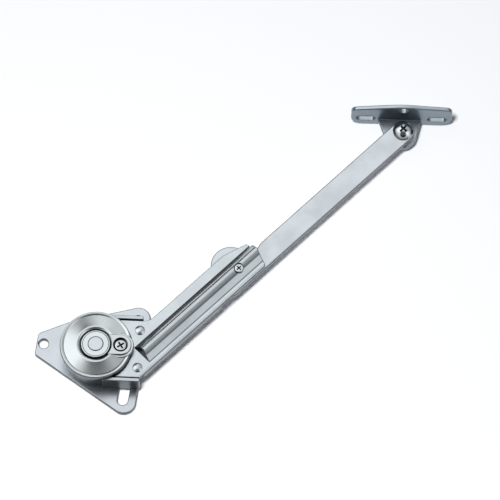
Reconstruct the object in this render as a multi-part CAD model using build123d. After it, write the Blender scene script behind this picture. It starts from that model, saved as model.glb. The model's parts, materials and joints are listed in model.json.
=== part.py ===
"""Damped flap stay: a rotary damper on a base plate, a two-link arm and a door bracket.

Millimetres. The stay lies flat: +Z is every pivot's axis, and the damper's axis is the origin, on the back
face of the base plate. The arm points away from +X by arm_angle. The door bracket's flange faces +Y.
Pieces of the damper are drawn along +X and turned by casing_angle; pieces of the lower arm and the bar are
drawn with u along the arm and v across it, and turned by arm_angle.
"""
from build123d import *
import math
import os

# Directions
arm_angle = 45.75
casing_angle = -1.1
vane_angle = 204.0

# Clearances
shaft_fit = 0.05
free_gap = 0.35
slip = 0.02
past = 30.0

# Base plate: three ears round the damper
plate_t = 2.3
ear_r = 5.3
top_ear = (17.34, 17.70)
bottom_ear = (12.65, -21.58)
left_tip_high = (-24.0, 8.1)
left_tip_high_r = 2.3
left_tip_low = (-25.5, 0.4)
left_tip_low_r = 1.7
left_flank = (-12.9, 13.2)
left_flank_r = 2.0
screw_hole_r = 2.1
left_hole = (-23.54, 4.69)
top_hole = (17.2, 16.8)
slot_w = 4.5
slot_centre = (12.42, -18.30)
slot_run = 4.8
slot_angle = 82.0
plate_edge_r = 0.6

# Spindle, fixed in the base plate
tang = 7.0
spindle_r = 5.0
neck_r = 3.3
neck_tip = 0.2
tip_r = 0.4
hub_r = 6.4
hub_washer_t = 1.9

# Damper casing and cap
thrust_t = 0.5
thrust_r = 10.5
casing_floor = 2.0
chamber_r = 11.5
chamber_h = 7.1
plug_seat = 1.9
cap_plug_r = chamber_r + plug_seat
cap_plug_h = 1.0
casing_lip = 1.0
casing_r = cap_plug_r + casing_lip
cap_overhang = 0.35
cap_r = casing_r + cap_overhang
cap_rim_h = 1.7
cap_rim_w = 1.8
cap_valley_r = cap_r - cap_rim_w
cap_valley_drop = 0.35
cap_slope_r = 10.4
cap_crown_r = 8.2
cap_crown_h = 1.0
hub_gap = 0.65
hub_floor_h = 0.4
hub_lift = 0.3
seal_w = 0.95
seal_h = 0.7
cap_seal_w = 0.75
cap_seal_h = 0.5

# Vane, valve clip and the casing's partition
vane_w = 3.0
vane_root_r = 2.0
vane_tip_gap = 1.7
vane_tip_r = chamber_r - vane_tip_gap
chamber_play = 0.3
clip_side = 0.5
clip_tip = 0.7
clip_grip = 2.3
clip_start_r = vane_tip_r - clip_grip
partition_w = 7.2
bypass_r = 0.8
bypass_h = 2.9

# Torque screw
torque_recess_r = 3.2
torque_head_r = 2.6
torque_sunk = 0.7
torque_cross = (3.4, 0.8, 0.9)
torque_under = 0.1
torque_shank_r = 1.5
torque_x = cap_plug_r - cap_seal_w - torque_shank_r - free_gap
needle_tip_r = 0.4
needle_len = 1.6
torque_seal_w = 0.7
torque_seal_h = 0.6
boss_rim_w = 1.5
boss_half = torque_recess_r + boss_rim_w
boss_rise = 1.2
boss_ledge_w = 1.0
boss_ledge_drop = 0.85

# Side walls and lug of the casing
wall_stand = 0.95
wall_outer = casing_r + wall_stand
wall_t = 1.7
wall_start = 3.5
wall_end = 19.8
wall_proud = 0.5
wall_gap = 0.3
horn_root = 2.0
lug_start = 11.0
lug_end = 19.7
rivet_x = 18.5
rivet_y = 8.68
rivet_r = 1.6
rivet_head_r = 2.15
rivet_head_h = 0.8
rivet_foot_r = 2.3

# Lower arm: front plate with its bead, and rear plate
sheet_t = 1.5
front_z = 10.0
cut_gap = 0.85
cut_r = cap_r + cut_gap
upper_v = -7.05
lower_v = -23.6
root_blend = 6.0
taper_u = 69.5
end_high = (80.9, -10.2)
end_mid = (81.9, -15.6)
end_low_u = 79.9
side_wall_u = (6.5, 53.0)
side_wall_z = 7.6
fold_r = 1.1
bead_v = -15.2
bead_r = 3.36
bead_lift = 0.64
crease = (-18.3, 2.0)
facet_foot_v = -21.15
bead_nose_u = 11.7
bead_nose_slope = 1.2
bead_wall = 1.2
rear_z = 5.0
rear_t = 1.2
rear_upper_v = -9.0
rear_lower_v = -21.5
rear_end_u = 76.5

# Middle pivot
mid_pivot = (69.38, -17.39)
mid_pin_r = 1.75
mid_head_r = 2.05
mid_head_h = 1.3
mid_head_top = 15.1
mid_head_gap = 0.2
mid_cross = (2.5, 0.6, 0.7)
mid_nut_flats = 5.5
mid_nut_h = 1.6
mid_bush_r = 3.0
spacer_r = 4.0

# Catch: plunger, spring and seat inside the bead
plunger_r = 1.85
plunger_u = 46.0
nose_len = 2.4
nose_w = 3.0
nose_drop_z = 6.8
stem_r = 0.9
stem_tail_u = 18.0
seat_u = 20.0
seat_t = 2.0
spring_wire = 0.5
spring_r = 1.6
spring_turns = 12
spring_lead = 1.3

# Upper arm: bar with its knuckle
bar_t = 2.5
bar_half = 5.15
bar_gap = 0.4
bar_v = -18.6
bar_end_r = 5.1
heel_u = 83.65
heel_angle = 38.8
heel_drop = 2.8
heel_r = 12.0
knuckle_centre = (69.61, -12.03)
knuckle_r = 8.86
knuckle_start_u = 56.7

# Door pivot
door_pivot = (170.6, bar_v)
door_pin_r = 2.5
door_bush_r = 3.4
door_head_r = 4.6
door_head_h = 2.4
door_head_edge = 0.5
door_head_gap = 0.1
door_cross = (4.8, 1.1, 1.2)
door_rivet_r = 3.6
door_rivet_h = 1.0
door_washer_r = 5.0
door_washer_t = 1.0

# Door bracket: a tab under the bar and a flange that meets the door
tab_t = 2.0
tab_round = (131.4, 109.3)
tab_round_r = 7.25
tab_root = (121.0, 140.6)
flange_x = 131.6
flange_y = 116.6
flange_t = 2.0
flange_end_z = (13.6, 14.6)
flange_crown_z = 17.0
flange_foot_r = 5.5
flange_top_r = 3.0
flange_crown_r = 40.0
flange_slot_pitch = 32.0
flange_slot_w = 4.6
flange_slot_len = 9.0
flange_end_margin = 2.1
flange_half = flange_slot_pitch / 2 + flange_slot_len / 2 + flange_end_margin
flange_slot_z = 6.15
flange_hole_x = 132.45
flange_hole_z = 13.9

# Heights that follow from the stack
foot_z = plate_t + thrust_t
chamber_z = foot_z + casing_floor
lid_z = chamber_z + chamber_h
flange_z = lid_z + cap_plug_h
rim_z = flange_z + cap_rim_h
hub_floor_z = flange_z + hub_floor_h
shoulder_z = hub_floor_z + hub_lift
hub_top_z = shoulder_z + hub_washer_t
boss_top_z = rim_z + boss_rise
front_top = front_z + sheet_t
rear_top = rear_z + rear_t
bar_z = rear_top + bar_gap
bar_top = bar_z + bar_t
bead_z = front_top + bead_lift
tab_z = bar_z - door_washer_t - tab_t
wall_top = front_top + wall_proud
horn = wall_outer - wall_t - wall_gap


def turned(angle, point):
    """A point turned about the damper's axis."""
    c = math.cos(math.radians(angle))
    s = math.sin(math.radians(angle))
    return (point[0] * c - point[1] * s, point[0] * s + point[1] * c)


def arm(u, v):
    return turned(arm_angle, (u, v))


def in_arm(x, y):
    """A point of the casing's frame, seen from the arm's frame."""
    return turned(casing_angle - arm_angle, (x, y))


def meet(y, v):
    """Where the casing's line at height y crosses the arm's line at v, in the arm's frame."""
    lean = math.radians(casing_angle - arm_angle)
    start = in_arm(0, y)
    run = (v - start[1]) / math.sin(lean)
    return (start[0] + run * math.cos(lean), v)


def disc(r, z0, z1, at=(0, 0)):
    return Pos(at[0], at[1], (z0 + z1) / 2) * Cylinder(r, z1 - z0)


def ring(r_in, r_out, z0, z1, at=(0, 0)):
    return disc(r_out, z0, z1, at) - disc(r_in, z0 - 1, z1 + 1, at)


def block(x, y, z):
    """A box from its limits in x, y and z."""
    size = [side[1] - side[0] for side in (x, y, z)]
    middle = [(side[1] + side[0]) / 2 for side in (x, y, z)]
    return Pos(*middle) * Box(*size)


def prism(face, z0, z1):
    return Pos(0, 0, z0) * extrude(face, amount=z1 - z0)


def outline(points):
    """A closed face from corners given as x, y and corner radius."""
    corners = [(x, y) for x, y, r in points]
    radii = [r for x, y, r in points]
    return make_face(FilletPolyline(*corners, radius=radii, close=True))


def hull(*circles):
    """The face that a belt round circles, each x, y and radius, encloses."""
    return make_hull([edge for x, y, r in circles for edge in (Pos(x, y) * Circle(r)).edges()])


def turned_profile(*edges):
    """A body of revolution about Z from a closed profile in the XZ plane."""
    return revolve(Plane.XZ * make_face(Curve() + list(edges)), Axis.Z)


def cross_recess(at, top, length, width, depth):
    """The cutter for a cross recess in a screw head."""
    x, y = at
    long = (-length / 2, length / 2)
    short = (-width / 2, width / 2)
    height = (top - depth, top + depth)
    return Pos(x, y, 0) * (block(long, short, height) + block(short, long, height))


def in_casing_frame(part):
    return Rot(0, 0, casing_angle) * part


def in_arm_frame(part):
    return Rot(0, 0, arm_angle) * part


# Base and spindle
def base_plate():
    face = hull(
        (*top_ear, ear_r),
        (*bottom_ear, ear_r),
        (*left_tip_high, left_tip_high_r),
        (*left_tip_low, left_tip_low_r),
        (*left_flank, left_flank_r),
    )
    plate = prism(face, 0, plate_t)
    plate = fillet(plate.faces().sort_by(Axis.Z)[-1].edges(), plate_edge_r)
    plate -= block((-tang / 2, tang / 2), (-tang / 2, tang / 2), (-1, plate_t + 1))
    plate -= disc(screw_hole_r, -1, plate_t + 1, left_hole)
    plate -= disc(screw_hole_r, -1, plate_t + 1, top_hole)
    slot = Pos(*slot_centre) * Rot(0, 0, slot_angle) * SlotCenterToCenter(slot_run, slot_w)
    return plate - prism(slot, -1, plate_t + 1)


def spindle():
    body = block((-tang / 2, tang / 2), (-tang / 2, tang / 2), (0, plate_t))
    body += disc(spindle_r, plate_t, shoulder_z)
    neck = disc(neck_r, shoulder_z, hub_top_z + neck_tip)
    body += fillet(neck.edges().group_by(Axis.Z)[-1], tip_r)
    key = block((vane_root_r, spindle_r + 1), (-vane_w / 2, vane_w / 2), vane_height())
    return body - Rot(0, 0, vane_angle) * key


def hub_washer():
    washer = ring(neck_r + slip, hub_r, shoulder_z, hub_top_z)
    return fillet(washer.edges().group_by(Axis.Z)[-1].sort_by(SortBy.RADIUS)[-1], tip_r)


def thrust_washer():
    return ring(spindle_r + free_gap, thrust_r, plate_t, foot_z)


def vane_height():
    return (chamber_z + chamber_play, lid_z - chamber_play)


def vane():
    blade = block((vane_root_r, vane_tip_r), (-vane_w / 2, vane_w / 2), vane_height())
    return Rot(0, 0, vane_angle) * blade


def valve_clip():
    """A clip round the vane's tip: it lets the oil past one way and seals the other."""
    half = vane_w / 2 + clip_side
    tip = math.sqrt((chamber_r - free_gap) ** 2 - half**2)
    clip = block((clip_start_r, tip), (-half, half), vane_height())
    clip -= block((clip_start_r - 1, tip - clip_tip), (-vane_w / 2, vane_w / 2), (0, lid_z + 1))
    return Rot(0, 0, vane_angle) * clip


# Damper casing and cap
def about(middle, height):
    """The two ends of a height about its middle."""
    return (middle - height / 2, middle + height / 2)


def cap_seal_z():
    return about(lid_z + cap_plug_h / 2, cap_seal_h)


def upper_seal_z():
    return about((lid_z + hub_floor_z) / 2, seal_h)


def lower_seal_z():
    return about(foot_z + casing_floor / 2, seal_h)


def torque_seal_z():
    return (lid_z - torque_seal_h, lid_z)


def torque_bore(z0, z1):
    return disc(torque_shank_r + shaft_fit, z0, z1, (torque_x, 0))


def side_wall(sign):
    y = sign * (wall_outer - wall_t / 2)
    end = wall_end - wall_t / 2
    wall = block((wall_start, end), (y - wall_t / 2, y + wall_t / 2), (foot_z, wall_top))
    return wall + disc(wall_t / 2, foot_z, wall_top, (end, y))


def damper_casing():
    body = disc(casing_r, foot_z, flange_z)
    body += block((lug_start, lug_end), (-wall_outer + wall_t, wall_outer - wall_t), (rear_top, front_z))
    body += side_wall(1)
    body += side_wall(-1)
    cavity = disc(chamber_r, chamber_z, flange_z + 1)
    inner = spindle_r + free_gap
    cavity -= block((inner, chamber_r + 1), (-partition_w / 2, partition_w / 2), (0, lid_z))
    body -= cavity
    body -= disc(cap_plug_r, lid_z, flange_z + 1)
    body -= disc(spindle_r + shaft_fit, 0, chamber_z)
    body -= disc(spindle_r + seal_w, *lower_seal_z())
    bypass_z = chamber_z + bypass_h
    body -= torque_bore(bypass_z, lid_z + 1)
    body -= disc(torque_shank_r + torque_seal_w, lid_z - torque_seal_h, lid_z + 1, (torque_x, 0))
    body -= Pos(torque_x, 0, bypass_z) * Rot(90, 0, 0) * Cylinder(bypass_r, partition_w + 2)
    for sign in (-1, 1):
        body -= disc(rivet_r + slip, rear_top - 1, front_z + 1, (rivet_x, sign * rivet_y))
    return in_casing_frame(body)


def cap_shape():
    """The cap's turned form: plug, rounded rim, a valley and a crowned cone up to the hub."""
    bore = spindle_r + shaft_fit
    plug = cap_plug_r - slip
    hub_hole = hub_r + hub_gap
    crown_z = rim_z + cap_crown_h
    valley_z = rim_z - cap_valley_drop
    rim_mid = (cap_r + cap_valley_r) / 2
    side_z = rim_z - 0.8
    lines = [
        Polyline((bore, lid_z), (plug, lid_z), (plug, flange_z), (cap_r, flange_z), (cap_r, side_z)),
        ThreePointArc((cap_r, side_z), (cap_r - 0.25, rim_z - 0.25), (rim_mid + 0.5, rim_z)),
        ThreePointArc((rim_mid + 0.5, rim_z), (cap_valley_r + 0.35, rim_z - 0.2), (cap_valley_r, valley_z)),
        ThreePointArc((cap_valley_r, valley_z), (cap_slope_r, rim_z + 0.45), (cap_crown_r, crown_z)),
        Polyline((cap_crown_r, crown_z), (hub_hole, crown_z - 0.3), (hub_hole, hub_floor_z), (bore, hub_floor_z)),
        Line((bore, hub_floor_z), (bore, lid_z)),
    ]
    return turned_profile(*lines)


def boss(half, top):
    """A step of the boss round the torque screw, which reaches in to the hub."""
    body = block((0, torque_x), (-half, half), (flange_z, top))
    body += disc(half, flange_z, top, (torque_x, 0))
    return fillet(body.edges().group_by(Axis.Z)[-1].filter_by(Axis.Y, reverse=True), tip_r)


def damper_cap():
    body = cap_shape()
    body += boss(boss_half + boss_ledge_w, boss_top_z - boss_ledge_drop)
    body += boss(boss_half, boss_top_z)
    body -= disc(spindle_r + shaft_fit, lid_z, hub_floor_z)
    body -= disc(hub_r + hub_gap, hub_floor_z, boss_top_z + 1)
    body -= ring(cap_plug_r - cap_seal_w, cap_plug_r + 1, *cap_seal_z())
    body -= disc(spindle_r + seal_w, *upper_seal_z())
    body -= torque_bore(lid_z - 1, boss_top_z)
    body -= disc(torque_recess_r, hub_floor_z, boss_top_z + 1, (torque_x, 0))
    return in_casing_frame(body)


def casing_seal():
    return ring(cap_plug_r - cap_seal_w + slip, cap_plug_r - slip, *cap_seal_z())


def shaft_seal(height):
    return ring(spindle_r + shaft_fit, spindle_r + seal_w - slip, *height)


def torque_seal():
    seal = ring(torque_shank_r + shaft_fit, torque_shank_r + torque_seal_w - slip, *torque_seal_z(), (torque_x, 0))
    return in_casing_frame(seal)


def torque_screw():
    at = (torque_x, 0)
    head_z = hub_floor_z + torque_under
    head_top = boss_top_z - torque_sunk
    bottom = chamber_z + bypass_h + needle_len
    head = fillet(disc(torque_head_r, head_z, head_top, at).edges().group_by(Axis.Z)[-1], tip_r)
    body = head + disc(torque_shank_r, bottom, head_z, at)
    needle = Cone(needle_tip_r, torque_shank_r, needle_len)
    body += Pos(torque_x, 0, bottom - needle_len / 2) * needle
    body -= cross_recess(at, head_top, *torque_cross)
    return in_casing_frame(body)


# Lower arm
def arm_rivets():
    rivets = []
    for sign in (-1, 1):
        at = (rivet_x, sign * rivet_y)
        head = disc(rivet_head_r, front_top, front_top + rivet_head_h, at)
        rivet = fillet(head.edges().group_by(Axis.Z)[-1], rivet_head_h * 0.6)
        rivet += disc(rivet_r, rear_z, front_top, at)
        rivet += disc(rivet_foot_r, rear_z - rivet_head_h, rear_z, at)
        rivets.append(in_casing_frame(rivet))
    return Compound(children=rivets)


def front_outline():
    """The front plate's outline in the arm's frame, before the round cut that clears the damper."""
    low_root = in_arm(horn_root, -horn)
    high_root = in_arm(horn_root, horn)
    low = meet(-horn, lower_v)
    high = meet(horn, upper_v)
    return outline([
        (*low_root, 0),
        (*low, 0.4),
        (end_low_u, lower_v, 1.6),
        (*end_mid, 5.0),
        (*end_high, 0.8),
        (taper_u, upper_v, 4.0),
        (*high, root_blend),
        (*high_root, 0),
    ])


def bead_profile(inset, low_z):
    """The bead's section across the arm: a half round that runs into a sloping facet."""
    r = bead_r - inset
    foot_v = bead_v + math.sqrt(r**2 - min(r, bead_lift) ** 2)
    crease_v, crease_rise = crease
    slope = math.atan2(crease_rise, crease_v - facet_foot_v)
    shift_v = inset * math.sin(slope)
    shift_z = inset * math.cos(slope)
    top = (bead_v, bead_z + r)
    crease_point = (crease_v + shift_v, front_top + crease_rise - shift_z)
    facet_end = (facet_foot_v + shift_v, front_top - shift_z)
    edges = [
        Line((foot_v, low_z), (foot_v, front_top)),
        ThreePointArc((foot_v, front_top), top, crease_point),
        Line(crease_point, facet_end),
        Line(facet_end, (facet_end[0], low_z)),
        Line((facet_end[0], low_z), (foot_v, low_z)),
    ]
    face = make_face(Curve() + edges)
    # The section stands across the arm: its x is v and its y is the height
    return Plane(origin=(0, 0, 0), x_dir=(0, 1, 0), z_dir=(1, 0, 0)) * face


def on_fold(point):
    """Whether a point lies on the line where the front plate turns down into its side wall."""
    return math.dist((point.Y, point.Z), (lower_v, front_top)) < slip


def arm_front_plate():
    body = prism(front_outline(), front_z, front_top)
    wall_y = (lower_v, lower_v + sheet_t)
    body += block(side_wall_u, wall_y, (side_wall_z, front_z))
    fold = [edge for edge in body.edges().filter_by(Axis.X) if on_fold(edge.center())]
    body = fillet(fold, fold_r)
    far = end_mid[0] + 2
    bead = Pos(bead_nose_u, 0, 0) * extrude(bead_profile(0, front_z + sheet_t / 2), amount=far - bead_nose_u)
    nose = block((-past, 0), (-past, 0), (-sheet_t, past))
    lean = math.degrees(math.atan2(bead_nose_slope, bead_r + bead_lift))
    bead -= Pos(bead_nose_u, 0, front_top) * Rot(0, lean, 0) * nose
    bead &= prism(front_outline(), front_z, past)
    body += bead
    inner_u = bead_nose_u + bead_nose_slope + bead_wall
    body -= Pos(inner_u, 0, 0) * extrude(bead_profile(bead_wall, front_z - 1), amount=far)
    body -= disc(cut_r, 0, past)
    for sign in (-1, 1):
        at = in_arm(rivet_x, sign * rivet_y)
        body -= disc(rivet_r + slip, front_z - 1, front_top + 1, at)
    body -= disc(mid_head_r + mid_head_gap, mid_head_top - mid_head_h, mid_head_top + 2, mid_pivot)
    body -= disc(mid_pin_r + slip, front_z - 1, mid_head_top, mid_pivot)
    return in_arm_frame(body)


def arm_rear_plate():
    points = [
        (*in_arm(horn_root, -horn), 0),
        (*meet(-horn, rear_lower_v), 2.0),
        (rear_end_u, rear_lower_v, 5.0),
        (rear_end_u, rear_upper_v, 5.0),
        (*meet(horn, rear_upper_v), root_blend),
        (*in_arm(horn_root, horn), 0),
    ]
    body = prism(outline(points), rear_z, rear_top) - disc(cut_r, 0, past)
    for sign in (-1, 1):
        at = in_arm(rivet_x, sign * rivet_y)
        body -= disc(rivet_r + slip, 0, past, at)
    body -= disc(mid_pin_r + slip, 0, past, mid_pivot)
    return in_arm_frame(body)


# Middle pivot
def mid_pivot_screw():
    head = disc(mid_head_r, mid_head_top - mid_head_h, mid_head_top, mid_pivot)
    body = fillet(head.edges().group_by(Axis.Z)[-1], tip_r)
    body += disc(mid_pin_r, rear_z - mid_nut_h, mid_head_top - mid_head_h, mid_pivot)
    body -= cross_recess(mid_pivot, mid_head_top, *mid_cross)
    return in_arm_frame(body)


def mid_pivot_nut():
    hexagon = Pos(*mid_pivot) * RegularPolygon(mid_nut_flats / 2, 6, major_radius=False)
    nut = prism(hexagon, rear_z - mid_nut_h, rear_z) - disc(mid_pin_r + slip, 0, past, mid_pivot)
    return in_arm_frame(nut)


def front_spacer():
    return in_arm_frame(ring(mid_pin_r + slip, spacer_r, bar_top, front_z, mid_pivot))


def rear_spacer():
    return in_arm_frame(ring(mid_pin_r + slip, spacer_r, rear_top, bar_z, mid_pivot))


def mid_bush():
    return in_arm_frame(ring(mid_pin_r + shaft_fit, mid_bush_r, bar_z, bar_top, mid_pivot))


# Catch inside the bead
def nose_end_u():
    """The plunger's nose stops just short of the knuckle's furthest point."""
    corner = (knuckle_start_u + bar_end_r, bar_v - bar_half + bar_end_r)
    reach = math.dist(corner, mid_pivot) + bar_end_r
    return mid_pivot[0] - reach - free_gap


def along(r, u0, u1):
    return Pos((u0 + u1) / 2, bead_v, bead_z) * Rot(0, 90, 0) * Cylinder(r, u1 - u0)


def catch_plunger():
    end = nose_end_u()
    body = along(plunger_r, plunger_u, end)
    body += along(stem_r, stem_tail_u, plunger_u)
    half = nose_w / 2
    body += block((end - nose_len, end), (bead_v - half, bead_v + half), (nose_drop_z, bead_z))
    return in_arm_frame(body)


def spring_seat():
    profile = bead_profile(bead_wall + shaft_fit, front_z)
    seat = Pos(seat_u, 0, 0) * extrude(profile, amount=seat_t)
    return in_arm_frame(seat - along(stem_r + shaft_fit, 0, 60))


def biarc(p0, t0, p1, t1):
    """Two arcs that leave p0 along t0 and reach p1 along t1."""
    v = p1 - p0
    a = 2 * (t0.dot(t1) - 1)
    b = -2 * v.dot(t0 + t1)
    c = v.dot(v)
    if abs(a) < 1e-9:
        d = -c / b
    else:
        d = (-b - math.sqrt(b * b - 4 * a * c)) / (2 * a)
    middle = (p0 + p1 + (t0 - t1) * d) * 0.5
    turn = ((p1 - t1 * d) - (p0 + t0 * d)).normalized()
    return [TangentArc(p0, middle, tangent=t0), TangentArc(middle, p1, tangent=turn)]


def catch_spring():
    """One unbroken wire: straight ends along the bead, and curls between them."""
    u0 = seat_u + seat_t
    u1 = plunger_u
    start = u0 + spring_wire + spring_lead
    pitch = (u1 - spring_wire - spring_lead - start) / spring_turns
    steps = 2 * spring_turns

    def centre(turn):
        a = 2 * math.pi * turn
        return Vector(start + pitch * turn, bead_v + spring_r * math.cos(a), bead_z + spring_r * math.sin(a))

    def heading(turn):
        a = 2 * math.pi * turn
        around = 2 * math.pi * spring_r
        return Vector(pitch, -around * math.sin(a), around * math.cos(a)).normalized()

    axis = Vector(1, 0, 0)
    lead = 0.15

    def foot(turn, u):
        a = 2 * math.pi * turn
        return Vector(u, bead_v + spring_r * math.cos(a), bead_z + spring_r * math.sin(a))

    tail = foot(-lead, u0)
    tail_bend = foot(-lead, u0 + spring_wire)
    tip_bend = foot(spring_turns + lead, u1 - spring_wire)
    tip = foot(spring_turns + lead, u1)
    edges = [Line(tail, tail_bend)]
    edges += biarc(tail_bend, axis, centre(0), heading(0))
    for i in range(steps):
        edges += biarc(centre(i / 2), heading(i / 2), centre((i + 1) / 2), heading((i + 1) / 2))
    edges += biarc(centre(spring_turns), heading(spring_turns), tip_bend, axis)
    edges += [Line(tip_bend, tip)]
    path = Wire(edges)
    wire = sweep(Plane(origin=tail, z_dir=(1, 0, 0)) * Circle(spring_wire / 2), path=path)
    gap = pitch * math.cos(math.atan(pitch / (2 * math.pi * spring_r))) - spring_wire
    print("catch spring: least gap between curls %.2f mm, wire volume %.2f of %.2f mm3" % (
        gap, wire.volume, path.length * math.pi * spring_wire**2 / 4))
    return in_arm_frame(wire)


# Upper arm
def bar_outline():
    """The bar with round ends, the heel that slopes down to its neck and the knuckle's round side."""
    low = bar_v - bar_half
    high = bar_v + bar_half
    end = door_pivot[0] + bar_half
    neck_u = heel_u - heel_drop / math.tan(math.radians(heel_angle))
    strip = outline([
        (knuckle_start_u, low, bar_end_r),
        (end, low, bar_end_r),
        (end, high, bar_end_r),
        (heel_u, high, heel_r),
        (neck_u, high - heel_drop, 0),
        (knuckle_centre[0], high - heel_drop, 0),
        (knuckle_centre[0], high, 0),
        (knuckle_start_u, high, bar_end_r),
    ])
    return strip + Pos(*knuckle_centre) * Circle(knuckle_r)


def upper_arm_bar():
    body = prism(bar_outline(), bar_z, bar_top)
    body -= disc(mid_bush_r + slip, 0, past, mid_pivot)
    body -= disc(door_bush_r + slip, 0, past, door_pivot)
    return in_arm_frame(body)


def door_bush():
    return in_arm_frame(ring(door_pin_r + shaft_fit, door_bush_r, bar_z, bar_top, door_pivot))


# Door bracket
def door_pivot_screw():
    under = bar_top + door_head_gap
    top = under + door_head_h
    shoulder = (door_head_r, under + door_head_edge)
    half_way = (door_head_r * 0.62, under + door_head_edge + (door_head_h - door_head_edge) * 0.69)
    dome = turned_profile(
        Polyline((0, top), (0, under), (door_head_r, under), shoulder),
        ThreePointArc(shoulder, half_way, (0, top)),
    )
    body = Pos(*door_pivot, 0) * dome
    body += disc(door_pin_r, tab_z, under, door_pivot)
    body += disc(door_rivet_r, tab_z - door_rivet_h, tab_z, door_pivot)
    body -= cross_recess(door_pivot, top, *door_cross)
    return in_arm_frame(body)


def door_washer():
    return in_arm_frame(ring(door_pin_r + slip, door_washer_r, tab_z + tab_t, bar_z, door_pivot))


def flange_face():
    left = flange_x - flange_half
    right = flange_x + flange_half
    body = outline([
        (left, 0, flange_foot_r),
        (right, 0, flange_foot_r),
        (right, flange_end_z[1], flange_top_r),
        (flange_x, flange_crown_z, flange_crown_r),
        (left, flange_end_z[0], flange_top_r),
    ])
    for sign in (-1, 1):
        at = flange_x + sign * flange_slot_pitch / 2
        body -= Pos(at, flange_slot_z) * SlotOverall(flange_slot_len, flange_slot_w)
    return body - Pos(flange_hole_x, flange_hole_z) * Circle(screw_hole_r)


def door_bracket():
    flange = Pos(0, flange_y + flange_t, 0) * extrude(Plane.XZ * flange_face(), amount=flange_t)
    root = flange_y + flange_t / 2
    belt = hull(
        (*tab_round, tab_round_r),
        (tab_root[0] + 1, root - 1, 1),
        (tab_root[1] - 1, root - 1, 1),
    )
    tab = prism(belt, tab_z, tab_z + tab_t)
    tab -= disc(door_pin_r + slip, 0, past, arm(*door_pivot))
    return flange + tab


def write(name, shape):
    os.makedirs("parts", exist_ok=True)
    export_step(shape, "parts/" + name + ".step")


write("base_plate", base_plate())
write("spindle", spindle())
write("hub_washer", hub_washer())
write("thrust_washer", thrust_washer())
write("damper_vane", vane())
write("valve_clip", valve_clip())
write("damper_casing", damper_casing())
write("damper_cap", damper_cap())
write("casing_seal", casing_seal())
write("upper_shaft_seal", shaft_seal(upper_seal_z()))
write("lower_shaft_seal", shaft_seal(lower_seal_z()))
write("torque_seal", torque_seal())
write("torque_screw", torque_screw())
write("arm_rivets", arm_rivets())
write("arm_front_plate", arm_front_plate())
write("arm_rear_plate", arm_rear_plate())
write("mid_pivot_screw", mid_pivot_screw())
write("mid_pivot_nut", mid_pivot_nut())
write("front_spacer", front_spacer())
write("rear_spacer", rear_spacer())
write("mid_bush", mid_bush())
write("catch_plunger", catch_plunger())
write("spring_seat", spring_seat())
write("catch_spring", catch_spring())
write("upper_arm_bar", upper_arm_bar())
write("door_bush", door_bush())
write("door_pivot_screw", door_pivot_screw())
write("door_washer", door_washer())
write("door_bracket", door_bracket())
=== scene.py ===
"""Looks of a damped flap stay, laid out as an add-on: one operator for each piece or group of like pieces.

Metres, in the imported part's own frame: +Z is every pivot's axis and the damper's axis is the origin.
"""
import json
import math

import bmesh
import bpy
from mathutils import Matrix, Vector

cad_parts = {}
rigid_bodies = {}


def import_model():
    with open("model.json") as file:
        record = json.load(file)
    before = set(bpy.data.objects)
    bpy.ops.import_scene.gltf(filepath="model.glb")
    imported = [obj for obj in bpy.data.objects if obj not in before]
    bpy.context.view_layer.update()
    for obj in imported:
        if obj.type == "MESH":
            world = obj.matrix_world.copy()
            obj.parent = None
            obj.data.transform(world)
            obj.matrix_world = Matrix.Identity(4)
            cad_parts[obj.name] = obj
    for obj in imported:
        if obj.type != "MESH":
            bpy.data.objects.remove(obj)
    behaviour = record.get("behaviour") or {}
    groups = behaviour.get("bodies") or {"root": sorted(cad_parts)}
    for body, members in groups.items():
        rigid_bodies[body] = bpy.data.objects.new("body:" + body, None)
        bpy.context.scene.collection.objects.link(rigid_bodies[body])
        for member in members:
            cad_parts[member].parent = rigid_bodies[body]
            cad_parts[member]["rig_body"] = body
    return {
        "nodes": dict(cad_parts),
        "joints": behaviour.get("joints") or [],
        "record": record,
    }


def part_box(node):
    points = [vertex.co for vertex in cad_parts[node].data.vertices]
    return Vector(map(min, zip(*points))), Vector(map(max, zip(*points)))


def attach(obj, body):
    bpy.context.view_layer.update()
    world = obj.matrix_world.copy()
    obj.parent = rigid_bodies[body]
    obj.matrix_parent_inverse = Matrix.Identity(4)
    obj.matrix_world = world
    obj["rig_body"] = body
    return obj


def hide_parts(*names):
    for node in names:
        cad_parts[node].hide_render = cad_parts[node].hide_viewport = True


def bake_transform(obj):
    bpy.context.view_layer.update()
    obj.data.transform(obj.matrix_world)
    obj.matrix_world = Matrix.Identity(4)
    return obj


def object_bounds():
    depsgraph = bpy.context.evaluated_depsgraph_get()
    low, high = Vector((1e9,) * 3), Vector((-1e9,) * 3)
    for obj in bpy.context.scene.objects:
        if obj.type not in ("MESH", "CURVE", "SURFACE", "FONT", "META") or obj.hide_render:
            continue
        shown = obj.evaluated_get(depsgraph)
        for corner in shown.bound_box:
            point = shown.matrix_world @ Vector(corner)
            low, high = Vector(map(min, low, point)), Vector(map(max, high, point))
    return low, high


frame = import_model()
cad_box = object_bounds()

bl_info = {
    "name": "Damped flap stay",
    "version": (1, 0, 0),
    "blender": (4, 5, 0),
    "location": "3D View > Sidebar > Flap stay",
    "description": "Makes the finished pieces of a damped flap stay around its packed model",
    "category": "Object",
}

MM = 0.001
JOINTS = {joint["name"]: joint for joint in frame["joints"]}
MOUNTS = {mount["name"]: mount for mount in frame["record"]["mounts"]}
COLOURS = {slot["slot"]: slot["base_color"] for slot in frame["record"]["materials"]}
SLOTS = {part["node"]: part["material_slot"] for part in frame["record"]["subparts"]}


def spot(joint):
    """Where a joint's axis stands, in millimetres."""
    return Vector(JOINTS[joint]["pos_m"]).xy / MM


def top(node):
    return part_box(node)[1].z / MM


def foot(node):
    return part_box(node)[0].z / MM


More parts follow.
